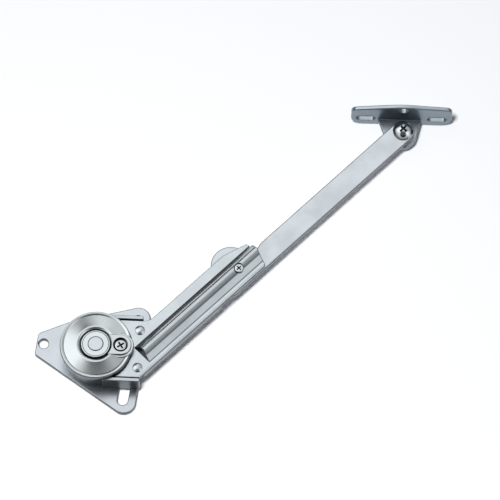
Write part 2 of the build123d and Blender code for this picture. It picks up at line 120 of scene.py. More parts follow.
def reach(node):
    """How far a node goes along X: the radius of a round piece on the damper's axis."""
    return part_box(node)[1].x / MM


def half_width(node):
    """Half of a node's size along X: the radius of a round piece on any axis."""
    low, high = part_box(node)
    return (high.x - low.x) / MM / 2


# Pieces are drawn in millimetres and then put in place: those of the arm with u along it and v across it,
# and those of the damper along the line from its axis to the torque screw
ALONG_ARM = Vector(JOINTS["catch_slide"]["axis"]).normalized()
ARM_ANGLE = math.atan2(ALONG_ARM.y, ALONG_ARM.x)
TORQUE_X = spot("torque_adjust").length
CASING_ANGLE = math.atan2(spot("torque_adjust").y, spot("torque_adjust").x)
PAST = 20.0
SLIP = 0.02
WELD = 0.001
FLUSH = math.radians(0.5)


# Settings that a user would change, with the pieces' own sizes in millimetres
def size(name, description, default):
    return bpy.props.FloatProperty(name=name, description=description + ", in millimetres", default=default)


def pair(name, description, default):
    return bpy.props.FloatVectorProperty(
        name=name, description=description + ", in millimetres", size=len(default), default=default)


def degrees(name, description, default):
    return bpy.props.FloatProperty(name=name, description=description + ", in degrees", default=default)


def fraction(name, description, default):
    return bpy.props.FloatProperty(
        name=name, description=description, default=default, min=0, max=1, subtype="FACTOR")


def metres(name, description, default):
    return bpy.props.FloatProperty(
        name=name, description=description, default=default, unit="LENGTH", precision=6)


def vector(name, description, default, kind):
    return bpy.props.FloatVectorProperty(
        name=name, description=description, default=default, subtype=kind, precision=5)


class StayEdges(bpy.types.PropertyGroup):
    """Rounding of edges."""

    sheet: size("Sheet edges", "Rounding of the flat pressed plates", 0.5)
    front: size("Front edges", "Rounding of the front plate's outer edges", 0.45)
    inner: size("Inner corners", "Rounding of the front plate's inner corners", 0.18)
    bar: size("Bar edges", "Rounding of the upper arm", 0.6)
    casting: size("Casting edges", "Rounding of the casing", 0.3)
    small: size("Small edges", "Rounding of holes, nuts and the spindle", 0.12)


class StayDamper(bpy.types.PropertyGroup):
    """Sizes of the cap and the hub."""

    plug_height: size("Plug height", "Height of the plug inside the casing", 1.0)
    groove: size("Grooves", "Depth of the grooves for the seals", 0.75)
    rim_height: size("Rim height", "Height of the cap's rim", 1.7)
    rim_width: size("Rim width", "From the cap's side to the valley inside the rim", 1.8)
    valley: size("Valley", "Depth of the valley below the rim", 0.35)
    slope_radius: size("Slope radius", "Radius at the middle of the cap's cone", 10.4)
    crown_radius: size("Crown radius", "Radius where the cone ends", 8.2)
    crown: size("Crown", "Height of the crown above the rim", 1.0)
    hub_hole: size("Hub hole", "Radius of the hole round the hub", 7.05)
    hub_floor: size("Hub floor", "Height of the hole's floor above the plug", 0.4)
    neck: size("Neck", "Radius of the spindle's end", 3.3)
    recess: size("Recess", "Radius of the recess round the torque screw", 3.2)
    boss_rim: size("Boss rim", "Width of the boss round the recess", 1.5)
    ledge_width: size("Ledge width", "Width of the boss's lower step", 1.0)
    ledge_drop: size("Ledge drop", "From the boss's top down to its lower step", 0.85)
    hub_ring: size("Hub ring", "From the hub's side to the groove in its face", 0.75)


class StayArm(bpy.types.PropertyGroup):
    """Sizes of the front plate, along and across the arm from the damper's axis."""

    sheet: size("Sheet", "Thickness of the sheet", 1.5)
    flat: size("Flat", "Height of the plate's flat top", 11.5)
    root: size("Root", "Start of the horns beside the casing's side walls", 2.0)
    horn: size("Horn", "Half width of the horns", 13.35)
    damper_cut: size("Damper cut", "Radius of the cut that clears the damper", 15.6)
    upper: size("Upper edge", "Where the upper edge runs across the arm", -7.05)
    lower: size("Lower edge", "Where the side wall's outer face runs across the arm", -23.6)
    taper: size("Taper", "Where the upper edge starts to taper", 69.5)
    tip_high: pair("High tip", "Upper corner of the tip", (80.9, -10.2))
    tip_middle: pair("Middle tip", "Corner in the middle of the tip", (81.9, -15.6))
    tip_low: size("Low tip", "Lower corner of the tip along the arm", 79.9)
    fold: size("Fold", "Outer radius of the fold to the side wall", 1.1)
    wall_start: size("Wall start", "Start of the side wall along the arm", 6.5)
    wall_end: size("Wall end", "End of the side wall along the arm", 53.0)
    wall_foot: size("Wall foot", "Height of the side wall's lower edge", 7.6)
    bead_foot: size("Bead foot", "Where the bead's far side rises across the arm", -11.9)
    bead_side: pair("Bead side", "Where its far side ends, across and above the flat", (-13.92, 2.55))
    bead_top: pair("Bead top", "Its highest line, across the arm and above the flat", (-15.9, 3.98))
    shoulder: size("Shoulder", "How far short of the crease the bead's back starts to fall", 1.7)
    bead_wall: size("Bead wall", "Thickness of the bead's end", 1.2)
    hollow: pair("Hollow", "Middle of the bead's hollow, across the arm and above the flat", (-15.2, 0.64))
    hollow_radius: size("Hollow radius", "Radius of the bead's hollow", 2.05)
    crease: pair("Crease", "Where its back meets its slope, across and above the flat", (-18.3, 2.0))
    facet_foot: size("Slope foot", "Where the slope ends across the arm", -21.15)
    nose: size("Nose", "Start of the bead along the arm", 11.7)
    nose_slope: size("Nose slope", "How far the bead's nose leans over its height", 1.2)
    middle_pivot: pair("Middle pivot", "Place of the elbow's axis", (69.38, -17.39))
    rivet_x: size("Rivets along", "From the damper's axis to the rivets", 18.5)
    rivet_y: size("Rivets across", "From the middle to each rivet", 8.68)
    rivet_shank: size("Rivet shank", "Radius of the rivets between their heads", 1.6)
    pivot_head: size("Pivot head", "Height of the middle pivot's head", 1.3)
    pivot_shank: size("Pivot shank", "Radius of the middle pivot's shank", 1.75)


class StayScrews(bpy.types.PropertyGroup):
    """Length, width and depth of each screw's cross, and how far it is turned."""

    torque_cross: pair("Torque cross", "Cross in the torque screw", (3.5, 0.8, 0.9))
    torque_turn: degrees("Torque turn", "Turn of the torque screw's cross", 35.0)
    middle_cross: pair("Middle cross", "Cross in the middle pivot", (2.5, 0.6, 0.7))
    middle_turn: degrees("Middle turn", "Turn of the middle pivot's cross", 0.0)
    door_cross: pair("Door cross", "Cross in the door pivot", (4.8, 1.1, 1.2))
    door_turn: degrees("Door turn", "Turn of the door pivot's cross", 0.0)


class StayFinish(bpy.types.PropertyGroup):
    """Roughness and grain of the plated metals."""

    satin: fraction("Satin", "Roughness of the satin nickel plate", 0.30)
    bright: fraction("Bright", "Roughness of the bright nickel on the cap", 0.20)
    polished: fraction("Polished", "Roughness of the polished pivot head", 0.06)
    grain: metres("Grain size", "Size of the plating's fine grain", 0.35 * MM)
    relief: metres("Grain relief", "Height of the plating's fine grain", 0.004 * MM)


class StayStage(bpy.types.PropertyGroup):
    """The camera, the lamp and the floor."""

    distance: metres("Distance", "From the camera to the point that it looks at", 1.32)
    lens: bpy.props.FloatProperty(
        name="Lens", description="Focal length in millimetres", default=216.0, subtype="DISTANCE_CAMERA")
    target: vector("Target", "Point at the middle of the picture", (0.06538, 0.04848, 0.010), "XYZ")
    towards: vector(
        "Towards", "Direction from the target to the camera", (0.01127, -0.40339, 0.91496), "DIRECTION")
    key: bpy.props.FloatProperty(
        name="Key light", description="Share of a white floor's brightness from the lamp", default=1.06)
    key_towards: vector(
        "Key direction", "Direction from the part to the lamp", (-0.13, -0.20, 0.97), "DIRECTION")
    key_size: metres("Key size", "Side of the square lamp", 0.18)
    fill: fraction("Fill light", "Share of a white floor's brightness from the surroundings", 0.03)
    floor_lift: fraction("Floor lift", "White added to the floor as the camera and metal see it", 0.05)


# Mesh helpers
def new_object(name, data):
    piece = bpy.data.objects.new(name, data)
    bpy.context.scene.collection.objects.link(piece)
    return piece


def from_bmesh(name, shape):
    mesh = bpy.data.meshes.new(name)
    shape.to_mesh(mesh)
    shape.free()
    return new_object(name, mesh)


def settle(piece):
    """Applies the piece's modifiers."""
    graph = bpy.context.evaluated_depsgraph_get()
    mesh = bpy.data.meshes.new_from_object(piece.evaluated_get(graph))
    piece.modifiers.clear()
    piece.data = mesh
    return piece


def arc(centre, radius, start, end, steps=8):
    """Points on an arc between two angles in degrees."""
    points = []
    for step in range(steps + 1):
        angle = math.radians(start + (end - start) * step / steps)
        points.append((centre[0] + radius * math.cos(angle), centre[1] + radius * math.sin(angle)))
    return points


def bent(start, pull, end, steps=8):
    """Points on a curve that leaves its start towards a point and arrives from there, without the first."""
    start, pull, end = Vector(start), Vector(pull), Vector(end)
    shares = [step / steps for step in range(1, steps + 1)]
    return [tuple(start * (1 - s)**2 + pull * 2 * s * (1 - s) + end * s**2) for s in shares]


def bowed(start, middle, end, steps=8):
    """Points on a curve from a start that passes a middle on its way to the end, without the first."""
    pull = Vector(middle) * 2 - (Vector(start) + Vector(end)) / 2
    return bent(start, pull, end, steps)


def circle(radius, height, centre=(0, 0), steps=96):
    return [(x, y, height) for x, y in arc(centre, radius, 0, 360 * (1 - 1 / steps), steps - 1)]


def rounded(corners, step=6.0):
    """A closed outline through corners given as x, y and radius, each of which becomes an arc."""
    outline = []
    for index, (x, y, radius) in enumerate(corners):
        corner = Vector((x, y))
        if radius == 0:
            outline.append((x, y))
            continue
        before = (Vector(corners[index - 1][:2]) - corner).normalized()
        after = (Vector(corners[(index + 1) % len(corners)][:2]) - corner).normalized()
        half = before.angle(after) / 2
        centre = corner + (before + after).normalized() * radius / math.sin(half)
        run = radius / math.tan(half)
        start = corner + before * run - centre
        end = corner + after * run - centre
        first = math.degrees(math.atan2(start.y, start.x))
        swing = math.degrees(math.atan2(start.cross(end), start.dot(end)))
        outline += arc(centre, radius, first, first + swing, max(2, round(abs(swing) / step)))
    return outline


def loft(name, rings, closed=False):
    """A solid through rings of as many points each: capped at its ends, or closed on itself."""
    shape = bmesh.new()
    rows = [[shape.verts.new(point) for point in ring] for ring in rings]
    pairs = list(zip(rows, rows[1:]))
    if closed:
        pairs.append((rows[-1], rows[0]))
    else:
        shape.faces.new(rows[0])
        shape.faces.new(rows[-1])
    for lower, upper in pairs:
        for index, corner in enumerate(lower):
            following = (index + 1) % len(lower)
            shape.faces.new((corner, lower[following], upper[following], upper[index]))
    bmesh.ops.remove_doubles(shape, verts=shape.verts, dist=WELD)
    bmesh.ops.recalc_face_normals(shape, faces=shape.faces)
    return from_bmesh(name, shape)


def turned(name, profile, centre=(0, 0), steps=96, closed=False):
    """A solid turned about an upright line, from a profile of radii and heights."""
    return loft(name, [circle(radius, height, centre, steps) for radius, height in profile], closed)


def prism(name, outline, low, high):
    return loft(name, [[(x, y, height) for x, y in outline] for height in (low, high)])


def domed(radius, base, rise, steps=10):
    """The profile of a low dome, from its edge to its middle."""
    curve = (radius**2 + rise**2) / (2 * rise)
    widest = math.degrees(math.asin(radius / curve))
    return arc((0, base + rise - curve), curve, 90 - widest, 88, steps)


def combine(piece, other, operation):
    """Adds, takes away or keeps what the other solid shares with the piece."""
    change = piece.modifiers.new("Combined", "BOOLEAN")
    change.operation = operation
    change.solver = "EXACT"
    change.object = other
    settle(piece)
    bpy.data.objects.remove(other)
    return piece


def cut_away(piece, *cutters):
    for cutter in cutters:
        combine(piece, cutter, "DIFFERENCE")
    return piece


def copied(node):
    """A copy of a CAD node's mesh, in millimetres."""
    piece = new_object(node + "_finish", frame["nodes"][node].data.copy())
    piece.data.transform(Matrix.Scale(1 / MM, 4))
    return piece


def filled_again(piece):
    """Divides the large flat faces anew, so that none that goes round a hole crosses itself."""
    many_sides = 12
    shape = bmesh.new()
    shape.from_mesh(piece.data)
    shape.normal_update()
    waiting = [face for face in shape.faces if len(face.verts) > many_sides]
    while waiting:
        group = [waiting.pop(0)]
        normal = group[0].normal.copy()
        for face in group:
            beside = [other for edge in face.edges for other in edge.link_faces]
            for other in beside:
                if other in waiting and other.normal.dot(normal) > math.cos(FLUSH / 2):
                    waiting.remove(other)
                    group.append(other)
        edges = list(dict.fromkeys(edge for face in group for edge in face.edges))
        inner = [edge for edge in edges if all(face in group for face in edge.link_faces)]
        border = [edge for edge in edges if edge not in inner]
        bmesh.ops.delete(shape, geom=group, context="FACES_ONLY")
        bmesh.ops.delete(shape, geom=inner, context="EDGES")
        filled = bmesh.ops.triangle_fill(
            shape, use_beauty=True, use_dissolve=False, edges=border, normal=normal)["geom"]
        seams = [item for item in filled if isinstance(item, bmesh.types.BMEdge)]
        bmesh.ops.dissolve_limit(shape, angle_limit=FLUSH, verts=[], edges=seams)
    bmesh.ops.recalc_face_normals(shape, faces=shape.faces)
    shape.to_mesh(piece.data)
    shape.free()
    return piece


def rounded_off(piece, rule, sharp_angle=30):
    """Rounds the sharp edges, each by the radius in millimetres that the rule gives it."""
    shape = bmesh.new()
    shape.from_mesh(piece.data)
    bmesh.ops.remove_doubles(shape, verts=shape.verts, dist=WELD)
    bmesh.ops.dissolve_limit(shape, angle_limit=FLUSH, verts=shape.verts, edges=shape.edges)
    weight = shape.edges.layers.float.new("bevel_weight_edge")
    sharp = [edge for edge in shape.edges if edge.is_manifold]
    sharp = [edge for edge in sharp if edge.calc_face_angle() > math.radians(sharp_angle)]
    radii = [rule(edge) for edge in sharp]
    for edge, radius in zip(sharp, radii):
        edge[weight] = radius / max(radii)
    shape.to_mesh(piece.data)
    shape.free()
    bevel = piece.modifiers.new("Rounding", "BEVEL")
    bevel.limit_method = "WEIGHT"
    bevel.width = max(radii)
    bevel.segments = 3
    bevel.use_clamp_overlap = False
    bevel.loop_slide = False
    return filled_again(settle(piece))


def middle_of(edge):
    return (edge.verts[0].co + edge.verts[1].co) / 2


def alike(radius):
    """A rule that rounds each sharp edge alike."""
    return lambda edge: radius


def finer_holes(edges):
    """A rule with a small radius round the flange's holes, which lie close to its border."""
    slots, hole = MOUNTS["door_slots"], MOUNTS["door_screw_hole"]
    apart = slots["dims"]["spacing_x_mm"] / 2
    slot_r = slots["dims"]["hole_r_mm"]
    half_run = slots["dims"]["slot_length_mm"] / 2 - slot_r
    slots_at = Vector(slots["pos_m"]) / MM
    hole_at = Vector(hole["pos_m"]) / MM
    openings = [(hole_at.x, hole_at.z, 0, hole["dims"]["r_mm"])]
    openings += [(slots_at.x + side * apart, slots_at.z, half_run, slot_r) for side in (-1, 1)]

    def rule(edge):
        middle = middle_of(edge)
        for x, z, run, radius in openings:
            beside = max(abs(middle.x - x) - run, 0)
            if math.hypot(beside, middle.z - z) < radius + edges.small:
                return edges.small
        return edges.sheet

    return rule


def shaded(piece, sharp_angle):
    """Smooth shading that keeps sharp edges and lets wide faces stay flat."""
    mesh = piece.data
    mesh.polygons.foreach_set("use_smooth", [True] * len(mesh.polygons))
    mesh.set_sharp_from_angle(angle=math.radians(sharp_angle))
    level = piece.modifiers.new("Flat faces stay flat", "WEIGHTED_NORMAL")
    level.keep_sharp = True
    level.weight = 100
    return settle(piece)


def put_in_place(piece, angle=0.0, at=(0, 0)):
    """From millimetres to the part's own frame: turned about the damper's axis, then moved."""
    move = Matrix.Translation((at[0] * MM, at[1] * MM, 0))
    piece.data.transform(move @ Matrix.Rotation(angle, 4, "Z") @ Matrix.Scale(MM, 4))
    return piece


def stand_for(piece, node, angle=0.0, at=(0, 0), sharp_angle=35):
    """The piece, turned and moved from where it was drawn, takes a CAD node's place, body and finish."""
    shaded(put_in_place(piece, angle, at), sharp_angle)
    piece.name = node + "_finish"
    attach(piece, frame["nodes"][node]["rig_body"])
    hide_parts(node)
    dress(piece, SLOTS[node])


def soften_node(node, rule):
    """A CAD node's own shape, with its sharp edges rounded."""
    stand_for(rounded_off(copied(node), rule), node)


def paint(piece, slot):
    piece.data.materials.clear()
    piece.data.materials.append(bpy.data.materials[slot + "_finish"])


def dress(piece, slot):
    paint(piece, slot)


def keep_nodes(*nodes):
    """CAD nodes that stay, each with the finish of its slot."""
    for node in nodes:
        paint(frame["nodes"][node], SLOTS[node])


def drill(radius, centre=(0, 0), low=0.0, steps=96):
    """A round cutter from a height to past the top of the stay."""
    return turned("cutter", [(0, low), (radius, low), (radius, PAST), (0, PAST)], centre, steps)


def cross_cutter(height, length, width, depth, turn=0.0, taper=0.45):
    """A tapered cross that sinks into a screw head whose top is at the height."""
    rings = []
    lead = 0.5
    for rise, share in ((lead, 1 + (1 - taper) * lead / depth), (-depth, taper)):
        half = length / 2 * share
        arm = width / 2 * (0.6 + 0.4 * share)
        ring = []
        for quarter in range(4):
            rotation = Matrix.Rotation(math.radians(turn) + quarter * math.pi / 2, 2)
            for corner in ((arm, arm), (arm, half), (-arm, half)):
                point = rotation @ Vector(corner)
                ring.append((point.x, point.y, height + rise))
        rings.append(ring)
    return loft("recess_cutter", rings)


# Shared shader groups
def add_node(tree, kind, inputs=None, **settings):
    """A node with its settings, whose inputs are other nodes' outputs or plain values."""
    node = tree.nodes.new(kind)
    for key, value in settings.items():
        setattr(node, key, value)
    for key, value in (inputs or {}).items():
        if isinstance(value, bpy.types.NodeSocket):
            tree.links.new(value, node.inputs[key])
        else:
            node.inputs[key].default_value = value
    return node


def calculate(tree, operation, *values, clamp=False):
    """The result of a math node."""
    inputs = dict(enumerate(values))
    return add_node(tree, "ShaderNodeMath", inputs, operation=operation, use_clamp=clamp).outputs[0]


def calculate_vector(tree, operation, first, second, result="Vector"):
    node = add_node(tree, "ShaderNodeVectorMath", {0: first, 1: second}, operation=operation)
    return node.outputs[result]


def split(tree, place):
    """The X, Y and Z of a place or a direction."""
    return add_node(tree, "ShaderNodeSeparateXYZ", {"Vector": place}).outputs


def spread(tree, value, start, end, low=0.0, high=1.0, interpolation="SMOOTHSTEP"):
    """A value that runs from low to high while another runs from start to end."""
    inputs = {"Value": value, "From Min": start, "From Max": end, "To Min": low, "To Max": high}
    node = add_node(tree, "ShaderNodeMapRange", inputs, interpolation_type=interpolation)
    return node.outputs["Result"]


def noise(tree, place, scale, detail=2.0, roughness=0.5):
    inputs = {"Vector": place, "Scale": scale, "Detail": detail, "Roughness": roughness}
    return add_node(tree, "ShaderNodeTexNoise", inputs).outputs["Fac"]


def turned_back(tree, place, angle):
    """A place as it is seen from a frame that is turned about the upright axis."""
    inputs = {"Vector": place, "Angle": calculate(tree, "MULTIPLY", angle, -1.0)}
    return add_node(tree, "ShaderNodeVectorRotate", inputs, rotation_type="Z_AXIS").outputs["Vector"]


def shader_group(name, *outputs, **inputs):
    """A new node group that takes places and numbers and puts out masks and heights."""
    group = bpy.data.node_groups.new(name, "ShaderNodeTree")
    for label, default in inputs.items():
        kind = "NodeSocketFloat" if isinstance(default, float) else "NodeSocketVector"
        group.interface.new_socket(label, in_out="INPUT", socket_type=kind).default_value = default
    for label in outputs:
        group.interface.new_socket(label, in_out="OUTPUT", socket_type="NodeSocketFloat")
    return group, group.nodes.new("NodeGroupInput").outputs, group.nodes.new("NodeGroupOutput").inputs


def plating_grain():
    """Fine crystals of plated metal: a height for bump, and a mask for roughness."""
    group, given, result = shader_group("Plating grain", "Height", "Mask", Vector=(0, 0, 0), Scale=3000.0)
    fine = noise(group, given["Vector"], given["Scale"], 3.0, 0.6)
    coarse = noise(group, given["Vector"], calculate(group, "MULTIPLY", given["Scale"], 0.3))
    group.links.new(calculate(group, "MULTIPLY_ADD", coarse, 0.4, fine), result["Height"])
    group.links.new(fine, result["Mask"])


def drawn_lines():
    """Long fine lines that rolling leaves along a bar."""
    group, given, result = shader_group(
        "Drawn lines", "Height", Vector=(0, 0, 0), Angle=0.0, Scale=3000.0, Stretch=0.03)
    shrink = add_node(group, "ShaderNodeCombineXYZ", {"X": given["Stretch"], "Y": 1.0, "Z": 1.0})
    turned_place = turned_back(group, given["Vector"], given["Angle"])
    stretched = calculate_vector(group, "MULTIPLY", turned_place, shrink.outputs["Vector"])
    group.links.new(noise(group, stretched, given["Scale"], 3.0, 0.6), result["Height"])


def handling():
    """Broad, faint patches where handling and plating leave a metal a little duller or darker."""
    group, given, result = shader_group("Handling patches", "Mask", Vector=(0, 0, 0), Scale=90.0)
    patches = noise(group, given["Vector"], given["Scale"], 4.0, 0.55)
    group.links.new(spread(group, patches, 0.35, 0.65), result["Mask"])


def painted_gap_shade():
    """Painted shade in a gap: a mask inside a round reach about an upright line and below a level."""
    group, given, result = shader_group(
        "Painted gap shade", "Mask", Vector=(0, 0, 0), Centre=(0, 0, 0), Reach=0.003, Level=0.0, Fade=0.0002)
    away = split(group, calculate_vector(group, "SUBTRACT", given["Vector"], given["Centre"]))
    squares = calculate(group, "MULTIPLY", away["X"], away["X"])
    squares = calculate(group, "MULTIPLY_ADD", away["Y"], away["Y"], squares)
    inside = calculate(group, "SUBTRACT", given["Reach"], calculate(group, "SQRT", squares))
    below = calculate(group, "SUBTRACT", given["Level"], away["Z"])
    least = calculate(group, "MINIMUM", below, inside)
    group.links.new(calculate(group, "DIVIDE", least, given["Fade"], clamp=True), result["Mask"])


def crease_shade_line():
    """A narrow line of painted shade along the arm, in a crease of the sheet."""
    group, given, result = shader_group(
        "Crease shade line", "Mask", Vector=(0, 0, 0), Angle=0.0, Across=0.0, Width=0.0003, Start=0.0)
    along = split(group, turned_back(group, given["Vector"], given["Angle"]))
    away = calculate(group, "ABSOLUTE", calculate(group, "SUBTRACT", along["Y"], given["Across"]))
    near = calculate(group, "SUBTRACT", 1.0, calculate(group, "DIVIDE", away, given["Width"]), clamp=True)
    started = calculate(group, "GREATER_THAN", along["X"], given["Start"])
    group.links.new(calculate(group, "MULTIPLY", near, started), result["Mask"])


def place_group(tree, name, place, **values):
    node_tree = bpy.data.node_groups[name]
    return add_node(tree, "ShaderNodeGroup", {"Vector": place, **values}, node_tree=node_tree).outputs


# Materials, one for each of the record's slots
# Painted shade: the steepness range over which the sides of round pieces are darkened
ROUND_TURN = (0.88, 0.45)
# Colour of the shade painted into gaps and recesses
GAP_SHADE_COLOUR = (0.03, 0.035, 0.04)
CREASE_SHADE = (0.10, 0.11, 0.12)


def new_material(slot):
    material = bpy.data.materials.new(slot + "_finish")
    material.use_nodes = True
    tree = material.node_tree
    place = add_node(tree, "ShaderNodeTexCoord").outputs["Object"]
    return tree, tree.nodes["Principled BSDF"], place


def mixed(tree, mask, below, above, blend_type="MIX"):
    """One colour over another, as far as the mask says."""
    colours = [
        colour if isinstance(colour, bpy.types.NodeSocket) else (*colour, 1) for colour in (below, above)]
    inputs = dict(zip(("Factor", "A", "B"), (mask, *colours)))
    node = add_node(tree, "ShaderNodeMix", inputs, data_type="RGBA", blend_type=blend_type)
    return node.outputs["Result"]


def patchy(tree, place, colour, scale, depth):
    """The mask of the patches, and the colour darkened under them."""
    patches = place_group(tree, "Handling patches", place, Scale=scale)["Mask"]
    return patches, mixed(tree, patches, colour, [channel * (1 - depth) for channel in colour])


def uneven(tree, shader, mask, roughness, swing):
    """Roughness that swings about its middle with the mask."""
    low, high = roughness - swing / 2, roughness + swing / 2
    tree.links.new(spread(tree, mask, 0.0, 1.0, low, high, "LINEAR"), shader.inputs["Roughness"])


def relief(tree, shader, height, depth):
    bump = add_node(tree, "ShaderNodeBump", {"Distance": depth, "Strength": 1.0, "Height": height})
    tree.links.new(bump.outputs["Normal"], shader.inputs["Normal"])


def painted_side_shade(tree, flat, steep):
    """A mask of the steep faces that stand up from the plates, where shade is painted into the colour."""
    normal = add_node(tree, "ShaderNodeNewGeometry").outputs["Normal"]
    return spread(tree, calculate(tree, "ABSOLUTE", split(tree, normal)["Z"]), flat, steep)


def plated(slot, roughness, depth, grain, lines=None, shaded_gaps=(), crease_shades=(), side_shade=0.22,
           steep=(0.97, 0.75), patch_depth=0.06, swing=0.06):
    """Plated metal: fine grain or drawn lines, faint patches, and painted shade on steep faces, in gaps and
    along creases.
    """
    tree, shader, place = new_material(slot)
    patches, colour = patchy(tree, place, COLOURS[slot], 90.0, patch_depth)
    fine = place_group(tree, "Plating grain", place, Scale=1 / grain)
    # Painted shade: steep faces and rounded rims are darkened towards a bluish tint
    side_shade_tint = (side_shade * 0.92, side_shade, side_shade * 1.06)
    colour = mixed(tree, painted_side_shade(tree, *steep), colour, side_shade_tint, "MULTIPLY")
    # Painted shade in the gaps round the hub and the screws, and in the screws' crosses
    for centre, radius, level in shaded_gaps:
        gap_shade = place_group(
            tree, "Painted gap shade", place, Centre=(centre[0] * MM, centre[1] * MM, 0),
            Reach=radius * MM, Level=level * MM)
        colour = mixed(tree, gap_shade["Mask"], colour, GAP_SHADE_COLOUR)
    # Painted shade along the bead's creases
    for across, width, start in crease_shades:
        line = place_group(
            tree, "Crease shade line", place, Angle=ARM_ANGLE,
            Across=across * MM, Width=width * MM, Start=start * MM)
        colour = mixed(tree, line["Mask"], colour, CREASE_SHADE)
    tree.links.new(colour, shader.inputs["Base Color"])
    mask = calculate(tree, "MULTIPLY_ADD", patches, 0.5, calculate(tree, "MULTIPLY", fine["Mask"], 0.5))
    uneven(tree, shader, mask, roughness, swing)
    height = fine["Height"]
    if lines:
        drawn = place_group(tree, "Drawn lines", place, Angle=lines, Scale=1 / grain)
        height = calculate(tree, "ADD", drawn["Height"], calculate(tree, "MULTIPLY", height, 0.4))
    relief(tree, shader, height, depth)
    shader.inputs["Metallic"].default_value = 1.0


def moulded(slot, roughness, depth, grain):
    """Plastic or rubber with a fine moulded texture."""
    tree, shader, place = new_material(slot)
    patches, colour = patchy(tree, place, COLOURS[slot], 150.0, 0.1)
    fine = place_group(tree, "Plating grain", place, Scale=1 / grain)
    tree.links.new(colour, shader.inputs["Base Color"])
    uneven(tree, shader, fine["Mask"], roughness, 0.16)
    relief(tree, shader, fine["Height"], depth)


class OBJECT_OT_stay_materials(bpy.types.Operator):
    """Make the shader groups and one finish for each material slot"""

    bl_idname = "object.stay_materials"
    bl_label = "Finishes"

    def execute(self, context):
        for make_group in (plating_grain, drawn_lines, handling, painted_gap_shade, crease_shade_line):
            make_group()
        damper = context.scene.stay_damper
        arm = context.scene.stay_arm
        finish = context.scene.stay_finish
        satin, bright = finish.satin, finish.bright
        depth, grain = finish.relief, finish.grain

        # Each painted crease shade: across the arm, half width and start. Each gap with painted shade:
        # centre, radius and level
        bead_crease_shades = (
            (arm.bead_foot, 0.35, arm.nose),
            (arm.crease[0], 0.42, arm.nose + 1),
            (arm.facet_foot, 0.40, arm.nose),
        )
        hub_gap = ((0, 0), damper.hub_hole + SLIP, top("hub_washer") - 0.5)
        screw_gap = (spot("torque_adjust"), damper.recess + SLIP, top("damper_cap") - 0.3)
        below_face = 0.12
        torque_cross = (spot("torque_adjust"), 2.2, top("torque_screw") - below_face)
        middle_cross = (spot("elbow"), 1.6, top("mid_pivot_screw") - below_face)
        door_cross = (spot("door_hinge"), 2.6, top("door_pivot_screw") - 0.65)

        plated("plate_steel", satin, depth, grain)
        plated("arm_steel", satin - 0.04, depth, grain, crease_shades=bead_crease_shades, steep=ROUND_TURN)
        plated("bar_steel", satin, depth, grain, lines=ARM_ANGLE, patch_depth=0.10)
        plated("bracket_steel", satin + 0.04, depth, grain, side_shade=0.44)
        plated("casing_zinc", satin, depth * 1.5, grain * 1.4)
        plated(
            "cap_nickel", bright, depth * 2, grain * 1.2, shaded_gaps=(hub_gap, screw_gap),
            steep=ROUND_TURN)
        plated("hub_nickel", satin - 0.04, depth, grain)
        plated("spindle_steel", satin, depth, grain)
        plated("rivet_steel", satin - 0.05, depth, grain, steep=ROUND_TURN)
        plated(
            "screw_steel", bright - 0.04, depth * 0.5, grain, shaded_gaps=(torque_cross, middle_cross),
            steep=ROUND_TURN)
        plated(
            "pivot_chrome", finish.polished, depth * 0.15, grain, shaded_gaps=(door_cross,),
            steep=(0.70, 0.40), patch_depth=0.02, swing=0.03)
        plated("spring_steel", satin, depth, grain)
        moulded("slide_plastic", 0.45, depth * 2, grain * 2)
        moulded("seal_rubber", 0.6, depth * 3, grain * 2)
        return {"FINISHED"}


# Base and damper
class OBJECT_OT_stay_base(bpy.types.Operator):
    """Make the three-eared base plate"""

    bl_idname = "object.stay_base"
    bl_label = "Base plate"

    def execute(self, context):
        soften_node("base_plate", alike(context.scene.stay_edges.sheet))
        return {"FINISHED"}


def cap_profile(damper):
    """Radii and heights round the cap's wall: bore, plug, groove, rim, valley, cone and hub hole."""
    lid = foot("damper_cap")
    plug_r = reach("casing_seal")
    groove = (foot("casing_seal"), top("casing_seal"))
    groove_r = plug_r - damper.groove
    cap_r = half_width("damper_cap")
    flange = lid + damper.plug_height
    rim = flange + damper.rim_height
    rim_side = (cap_r, rim - 0.85)
    rim_shoulder = (cap_r - 0.22, rim - 0.24)
    valley_r = cap_r - damper.rim_width
    valley = (valley_r, rim - damper.valley)
    rim_top = ((cap_r + valley_r) / 2 + 0.4, rim)
    rim_slope = (valley_r + 0.5, rim - 0.13)
    crown = rim + damper.crown
    cone = (damper.slope_radius, rim + 0.45)
    hole_r = damper.hub_hole
    hole_edge = [(hole_r + 0.3, crown - 0.2), (hole_r, crown - 0.45)]
    hub_floor = flange + damper.hub_floor
    bore_r = reach("upper_shaft_seal") - damper.groove
    points = [(bore_r, lid), (plug_r, lid), (plug_r, groove[0]), (groove_r, groove[0])]
    points += [(groove_r, groove[1]), (plug_r, groove[1]), (plug_r, flange), (cap_r, flange), rim_side]
    points += bowed(rim_side, rim_shoulder, rim_top) + bowed(rim_top, rim_slope, valley)
    points += bowed(valley, cone, (damper.crown_radius, crown))
    return points + hole_edge + [(hole_r, hub_floor), (bore_r, hub_floor)]


def tongue(half, inset=0.0):
    """The boss seen from above: it starts at the damper's axis and ends round the torque screw."""
    end = arc((TORQUE_X, 0), half - inset, -90, 90, 32)
    return [(0, inset - half)] + end + [(0, half - inset)]


def boss_step(half, low, high, rounding=0.4, steps=4):
    """One step of the boss, with a rounded upper edge."""
    rings = [(low, 0.0), (high - rounding, 0.0)]
    for step in range(1, steps + 1):
        angle = math.radians(90 * step / steps)
        rings.append((high - rounding + rounding * math.sin(angle), rounding * (1 - math.cos(angle))))
    return loft("boss", [[(x, y, z) for x, y in tongue(half, inset)] for z, inset in rings])


def flared_cutter(radius, low, high, flare, centre=(0, 0)):
    """A round cutter that breaks the edge of the hole that it leaves."""
    over = high + 2
    profile = [(0, low), (radius, low), (radius, high - flare), (radius + flare * 0.3, high - flare * 0.3)]
    return turned("cutter", profile + [(radius + flare, high), (radius + flare, over), (0, over)], centre)


